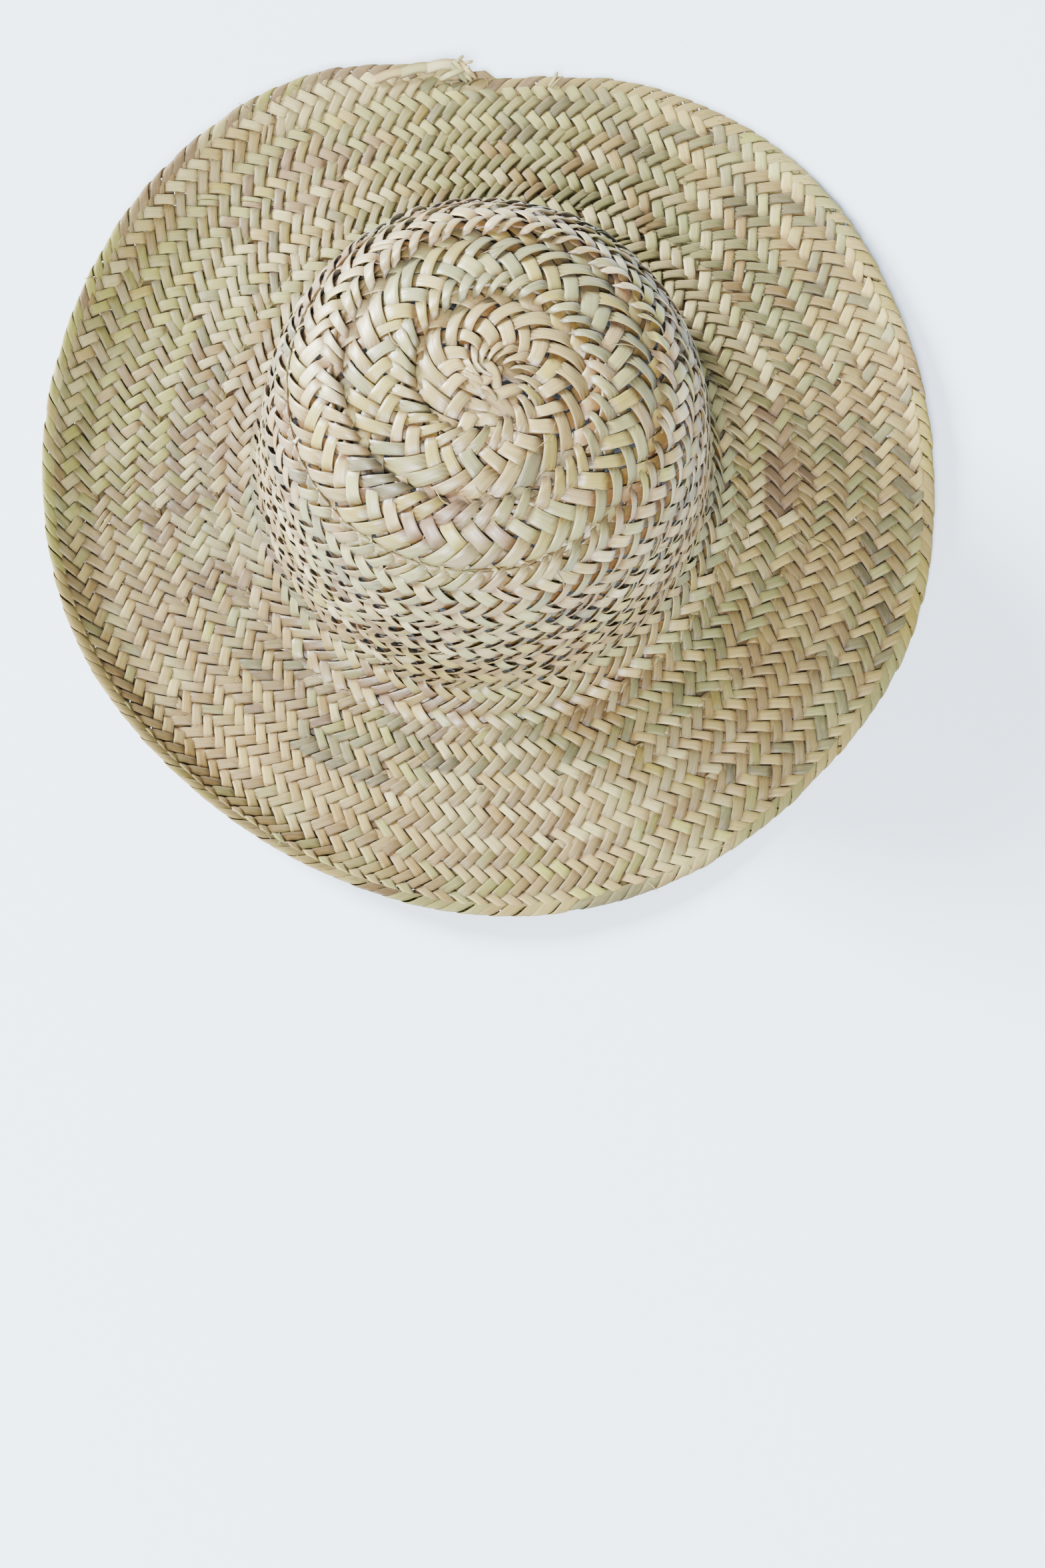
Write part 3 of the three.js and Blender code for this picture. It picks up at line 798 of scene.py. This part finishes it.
def ribbons(strips, thickness, end_taper=TAPER["end"]):
    """Loose strips from paths, widths and colours. A path is rows of distance, azimuth and lift."""
    paths, widths, colours = zip(*strips)
    distance, azimuth, lift = np.moveaxis(np.array(paths), -1, 0)
    middle = surface.place(distance, azimuth, lift)
    up = surface.place(distance, azimuth, lift + 1.0) - middle
    run = unit(np.gradient(middle, axis=1))
    side = unit(np.cross(run, up))
    up = np.cross(side, run)
    lane = SECTION_SIDE[:, None] * tapered(widths, distance.shape[1], end_taper)[:, :, None, None]
    rise = SECTION_RISE[:, None] * thickness
    points = middle[:, :, None] + side[:, :, None] * lane + up[:, :, None] * rise
    along = np.linspace(0.0, LOOSE_TEXTURE_RUN, distance.shape[1])[:, None]
    leaves = LEAF_PALETTE[[LEAF_NAMES.index(name) for name in colours]]
    # Painted shade along the loose strips' edges and where they sink below the plait
    edge = np.where(np.abs(SECTION_SIDE) > LOOSE_SHADES["edge"], LOOSE_SHADES["edge_shade"], 0.0)
    deepest = LOOSE_SHADES["deepest"]
    light = deepest + (1.0 - deepest) * smoothstep(*LOOSE_SHADES["depths"], lift)
    colours = darken(leaves[:, None, None, :], edge[:, None]) * light[:, :, None, None]
    return points, colours, strip_texture(points.shape[:3], along)


def tapered(widths, count, end_taper):
    """Widths along strips that are narrower at their two ends."""
    share = np.linspace(0.0, 1.0, count)
    ends = np.minimum(TAPER["start"] + share * TAPER["rate"], end_taper + (1.0 - share) * TAPER["rate"])
    return np.array(widths)[:, None] * np.minimum(1.0, ends)


def curve_rows(knots, count):
    """A smooth curve through knots, given as rows, resampled evenly to count rows."""
    knots = np.array(knots, float)
    at = np.linspace(0.0, len(knots) - 1.0, count)
    return smooth_curve(np.arange(len(knots), dtype=float), knots, at)


def end_strips():
    """The plait's end: points, colours and texture of its folded and knotted strips."""
    strips = []
    for measured_at, rows in END_STRIPS.items():
        rim = surface.rim_distance(measured_at)
        for *places, width, colour in rows:
            knots = [(rim - inward, azimuth, lift) for azimuth, inward, lift in places]
            strips.append((curve_rows(knots, END_SAMPLES), width, colour))
    return ribbons(strips, END_THICKNESS)


def centre_strips():
    """Loose ends crossing the start of the coil."""
    strips = []
    for *places, width, colour in CENTRE_STRIPS:
        x, y, lift = curve_rows(places, CENTRE_SAMPLES).T
        path = np.stack([np.hypot(x, y), np.degrees(np.arctan2(y, x)), lift], 1)
        strips.append((path, width, colour))
    return ribbons(strips, CENTRE_THICKNESS)


def fibre_knots(at_rim):
    """Draws three places along a stray fibre: distance, azimuth and lift."""
    kind = RIM_FIBRE if at_rim else FACE_FIBRE
    azimuth = rng.uniform(0.0, 360.0)
    if at_rim:
        start = surface.rim_distance(azimuth) - RIM_FIBRE["inset"]
    else:
        start = rng.uniform(*FACE_FIBRE["distance"])
    length = rng.uniform(*kind["length"])
    heading = rng.uniform(*kind["heading"])
    bend = rng.normal(0.0, FIBRE["bend"])
    radius = surface.profile(start, azimuth)[0]
    knots = []
    for share in (0.0, 0.5, 1.0):
        turned = heading + bend * share
        step = share * length
        arch = FIBRE["arch"] * math.sin(math.pi * min(share, FIBRE["arch_ends"]))
        knots.append((start + step * math.cos(turned),
                      azimuth + math.degrees(step * math.sin(turned) / radius),
                      FIBRE["lift"] + arch + rng.uniform(0.0, FIBRE["lift_spread"])))
    return knots


def stray_strips():
    """Fibres that have sprung loose from the rim, the brim and the crown."""
    strips = []
    for index in range(STRAY_FIBRES):
        path = curve_rows(fibre_knots(index % RIM_FIBRE["every"] == 0), FIBRE["samples"])
        width = rng.uniform(*FIBRE["width"])
        strips.append((path, width, str(rng.choice(FIBRE["colours"]))))
    return ribbons(strips, FIBRE["thickness"], FIBRE["end_taper"])


class NodeTree:
    """A short way to write a material's node tree."""

    # Places of the colour sockets on a mix node
    MIX_FACTOR, MIX_FIRST, MIX_SECOND, MIX_RESULT = 0, 6, 7, 2

    def __init__(self, name):
        self.material = bpy.data.materials.new(name)
        self.material.use_nodes = True
        self.tree = self.material.node_tree
        self.shader = self.tree.nodes["Principled BSDF"]

    def add(self, kind, **settings):
        node = self.tree.nodes.new(kind)
        for key, value in settings.items():
            setattr(node, key, value)
        return node

    def link(self, source, target):
        self.tree.links.new(source, target)

    def noise(self, vector, scale, detail, stretch=None):
        if stretch:
            mapping = self.add("ShaderNodeMapping")
            mapping.inputs["Scale"].default_value = stretch
            self.link(vector, mapping.inputs["Vector"])
            vector = mapping.outputs["Vector"]
        node = self.add("ShaderNodeTexNoise")
        node.inputs["Scale"].default_value = scale
        node.inputs["Detail"].default_value = detail
        node.inputs["Roughness"].default_value = NOISE_ROUGHNESS
        self.link(vector, node.inputs["Vector"])
        return node.outputs["Fac"]

    def remap(self, value, levels, results):
        node = self.add("ShaderNodeMapRange")
        for name, number in zip(("From Min", "From Max", "To Min", "To Max"), (*levels, *results)):
            node.inputs[name].default_value = number
        self.link(value, node.inputs["Value"])
        return node.outputs["Result"]

    def presence(self, pattern, tint):
        """How much of a tint shows, by the level of a pattern."""
        return self.remap(pattern, tint["levels"], (0.0, tint["most"]))

    def scale_colour(self, colour, value):
        node = self.add("ShaderNodeVectorMath", operation="SCALE")
        self.link(colour, node.inputs[0])
        self.link(value, node.inputs["Scale"])
        return node.outputs["Vector"]

    def mix_colour(self, factor, colour, other):
        node = self.add("ShaderNodeMix", data_type="RGBA", blend_type="MIX")
        self.link(factor, node.inputs[self.MIX_FACTOR])
        self.link(colour, node.inputs[self.MIX_FIRST])
        node.inputs[self.MIX_SECOND].default_value = (*srgb_to_linear(other), 1.0)
        return node.outputs[self.MIX_RESULT]

    def multiply(self, value, other):
        node = self.add("ShaderNodeMath", operation="MULTIPLY")
        self.link(value, node.inputs[0])
        self.link(other, node.inputs[1])
        return node.outputs[0]

    def doubled_edge(self, strip, pattern):
        """A thin line inside one edge, where the leaf under the top one shows."""
        split = self.add("ShaderNodeSeparateXYZ")
        self.link(strip, split.inputs["Vector"])
        line = self.add("ShaderNodeMath", operation="COMPARE")
        line.inputs[1].default_value = DOUBLED["place"]
        line.inputs[2].default_value = DOUBLED["half_width"]
        self.link(split.outputs["X"], line.inputs[0])
        return self.multiply(line.outputs[0], self.presence(pattern, DOUBLED))


def straw_material(name, roughness, specular):
    """Dried palm leaf: ribs along each strip, blotches of age, and a soft gloss on the ribs."""
    tree = NodeTree(name)
    leaf = tree.add("ShaderNodeAttribute", attribute_name="leaf").outputs["Color"]
    strip = tree.add("ShaderNodeUVMap", uv_map="strip").outputs["UV"]
    place = tree.add("ShaderNodeTexCoord").outputs["Object"]
    ribs, fibres, blotches = (tree.noise(strip, *pattern) for pattern in (RIBS, FIBRES, BLOTCHES))
    patches, specks = (tree.noise(place, *pattern) for pattern in (PATCHES, SPECKS))
    rib_shade = tree.remap(ribs, GRAIN_LEVELS, RIB_SHADES)
    fibre_shade = tree.remap(fibres, GRAIN_LEVELS, FIBRE_SHADES)
    colour = tree.scale_colour(leaf, tree.multiply(rib_shade, fibre_shade))
    patch_share = tree.remap(patches, BROWNED_PATCH_LEVELS, BROWNED_PATCH_SHARES)
    browned = tree.multiply(tree.presence(blotches, BROWNED), patch_share)
    greened, speckled = tree.presence(patches, GREENED), tree.presence(specks, SPECKLED)
    shares = (browned, greened, speckled, tree.doubled_edge(strip, blotches))
    for share, tint in zip(shares, (BROWNED, GREENED, SPECKLED, DOUBLED)):
        colour = tree.mix_colour(share, colour, tint["colour"])
    tree.link(colour, tree.shader.inputs["Base Color"])
    gloss = tree.remap(ribs, GRAIN_LEVELS, (roughness + ROUGHER_GROOVE, roughness - GLOSSIER_RIB))
    tree.link(gloss, tree.shader.inputs["Roughness"])
    tree.shader.inputs["Specular IOR Level"].default_value = specular
    tree.shader.inputs["Sheen Weight"].default_value = STRAW_SHEEN
    bump = tree.add("ShaderNodeBump")
    bump.inputs["Strength"].default_value = STRAW_BUMP["strength"]
    bump.inputs["Distance"].default_value = STRAW_BUMP["metres"]
    tree.link(tree.multiply(ribs, fibres), bump.inputs["Height"])
    tree.link(bump.outputs["Normal"], tree.shader.inputs["Normal"])
    return tree.material


def strip_quads(strips, samples):
    """Faces of closed strips whose points are laid out as strips, samples, section."""
    sides = len(STRIP_SECTION)
    ring = np.arange(sides)
    step = np.arange(samples - 1)[:, None]
    here = step * sides + ring
    there = here + sides
    onward = step * sides + (ring + 1) % sides
    walls = np.stack([here, there, onward + sides, onward], -1).reshape(-1, 4)
    faces = np.concatenate([walls, STRIP_CAP, STRIP_CAP[:, ::-1] + (samples - 1) * sides])
    offsets = np.arange(strips)[:, None, None] * samples * sides
    return (faces[None] + offsets).reshape(-1, 4)


def build_strips(name, points, colours, texture):
    """A mesh object of closed strips: points in mm, each with its colour and its texture place."""
    quads = strip_quads(len(points), points.shape[1])
    mesh = bpy.data.meshes.new(name)
    mesh.vertices.add(points.size // 3)
    mesh.vertices.foreach_set("co", (points * MM).astype(np.float32).ravel())
    mesh.loops.add(quads.size)
    mesh.loops.foreach_set("vertex_index", quads.astype(np.int32).ravel())
    mesh.polygons.add(len(quads))
    mesh.polygons.foreach_set("loop_start", np.arange(0, quads.size, 4, dtype=np.int32))
    mesh.polygons.foreach_set("use_smooth", np.ones(len(quads), bool))
    leaf = mesh.attributes.new("leaf", "FLOAT_COLOR", "POINT")
    rgba = np.concatenate([colours, np.ones_like(colours[..., :1])], -1)
    leaf.data.foreach_set("color", rgba.astype(np.float32).ravel())
    strip = mesh.uv_layers.new(name="strip")
    strip.data.foreach_set("uv", texture.reshape(-1, 2)[quads.ravel()].astype(np.float32).ravel())
    mesh.update(calc_edges=True)
    mesh.validate()
    piece = bpy.data.objects.new(name, mesh)
    bpy.context.scene.collection.objects.link(piece)
    return piece


def add_strips(name, strips, nodes, slot):
    """One piece made of strips, which rides on the hat and stands for the nodes it covers."""
    piece = build_strips(name, *strips)
    piece.data.materials.append(STRAWS[slot])
    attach(piece, "root")
    if nodes:
        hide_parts(*nodes)


def add_floor():
    mesh = bpy.data.meshes.new("floor")
    half = FLOOR["half_size"]
    corners = [(-half, -half, 0), (half, -half, 0), (half, half, 0), (-half, half, 0)]
    mesh.from_pydata(corners, [], [(0, 1, 2, 3)])
    floor = bpy.data.objects.new("floor", mesh)
    bpy.context.scene.collection.objects.link(floor)
    material = bpy.data.materials.new("pale_floor")
    material.use_nodes = True
    shader = material.node_tree.nodes["Principled BSDF"]
    shader.inputs["Base Color"].default_value = FLOOR["colour"]
    shader.inputs["Roughness"].default_value = FLOOR["roughness"]
    mesh.materials.append(material)


def add_area_light(name, place, size, power, colour):
    """A round soft light that faces the hat."""
    data = bpy.data.lights.new(name, "AREA")
    data.shape = "DISK"
    data.size = size
    data.energy = power
    data.color = colour
    light = bpy.data.objects.new(name, data)
    light.location = place
    x, y, z = np.array(LIGHT_TARGET) - np.array(place)
    light.rotation_euler = (math.atan2(math.hypot(x, y), -z), 0.0, math.atan2(y, x) - math.pi / 2)
    bpy.context.scene.collection.objects.link(light)


def add_camera():
    data = bpy.data.cameras.new("camera")
    data.lens = CAMERA["lens"]
    data.sensor_width = CAMERA["sensor"]
    camera = bpy.data.objects.new("camera", data)
    x = CAMERA["right_of_crown"] + CROWN_AXIS[0]
    y = CROWN_AXIS[1] - CAMERA["front_of_crown"]
    camera.location = (x * MM, y * MM, CAMERA["height"] * MM)
    camera.rotation_euler = (math.radians(90.0 - CAMERA["looks_down"]), 0.0, 0.0)
    bpy.context.scene.collection.objects.link(camera)
    bpy.context.scene.camera = camera


def add_surroundings():
    world = bpy.data.worlds.new("studio")
    world.use_nodes = True
    background = world.node_tree.nodes["Background"]
    background.inputs["Color"].default_value = SURROUNDINGS["colour"]
    background.inputs["Strength"].default_value = SURROUNDINGS["strength"]
    bpy.context.scene.world = world


smooth_straw = straw_material(*SMOOTH_STRAW)
worn_straw = straw_material(*WORN_STRAW)
STRAWS = {
    "tip_plait": smooth_straw,
    "wall_plait": smooth_straw,
    "brim_plait": worn_straw,
    "selvage": worn_straw,
    "plait_end": worn_straw,
}

plait = Plait()
for name, first, last, nodes, slot in PLAIT_PIECES:
    add_strips(name, plait.between(first, last), nodes, slot)
add_strips("rim_folds", rim_strips(), ("rim_edge",), "selvage")
add_strips("plait_end", end_strips(), ("tail_tuft",), "plait_end")
add_strips("tip_centre", centre_strips(), (), "tip_plait")
add_strips("stray_fibres", stray_strips(), (), "wall_plait")

add_floor()
for light in LIGHTS:
    add_area_light(*light)
add_camera()
add_surroundings()
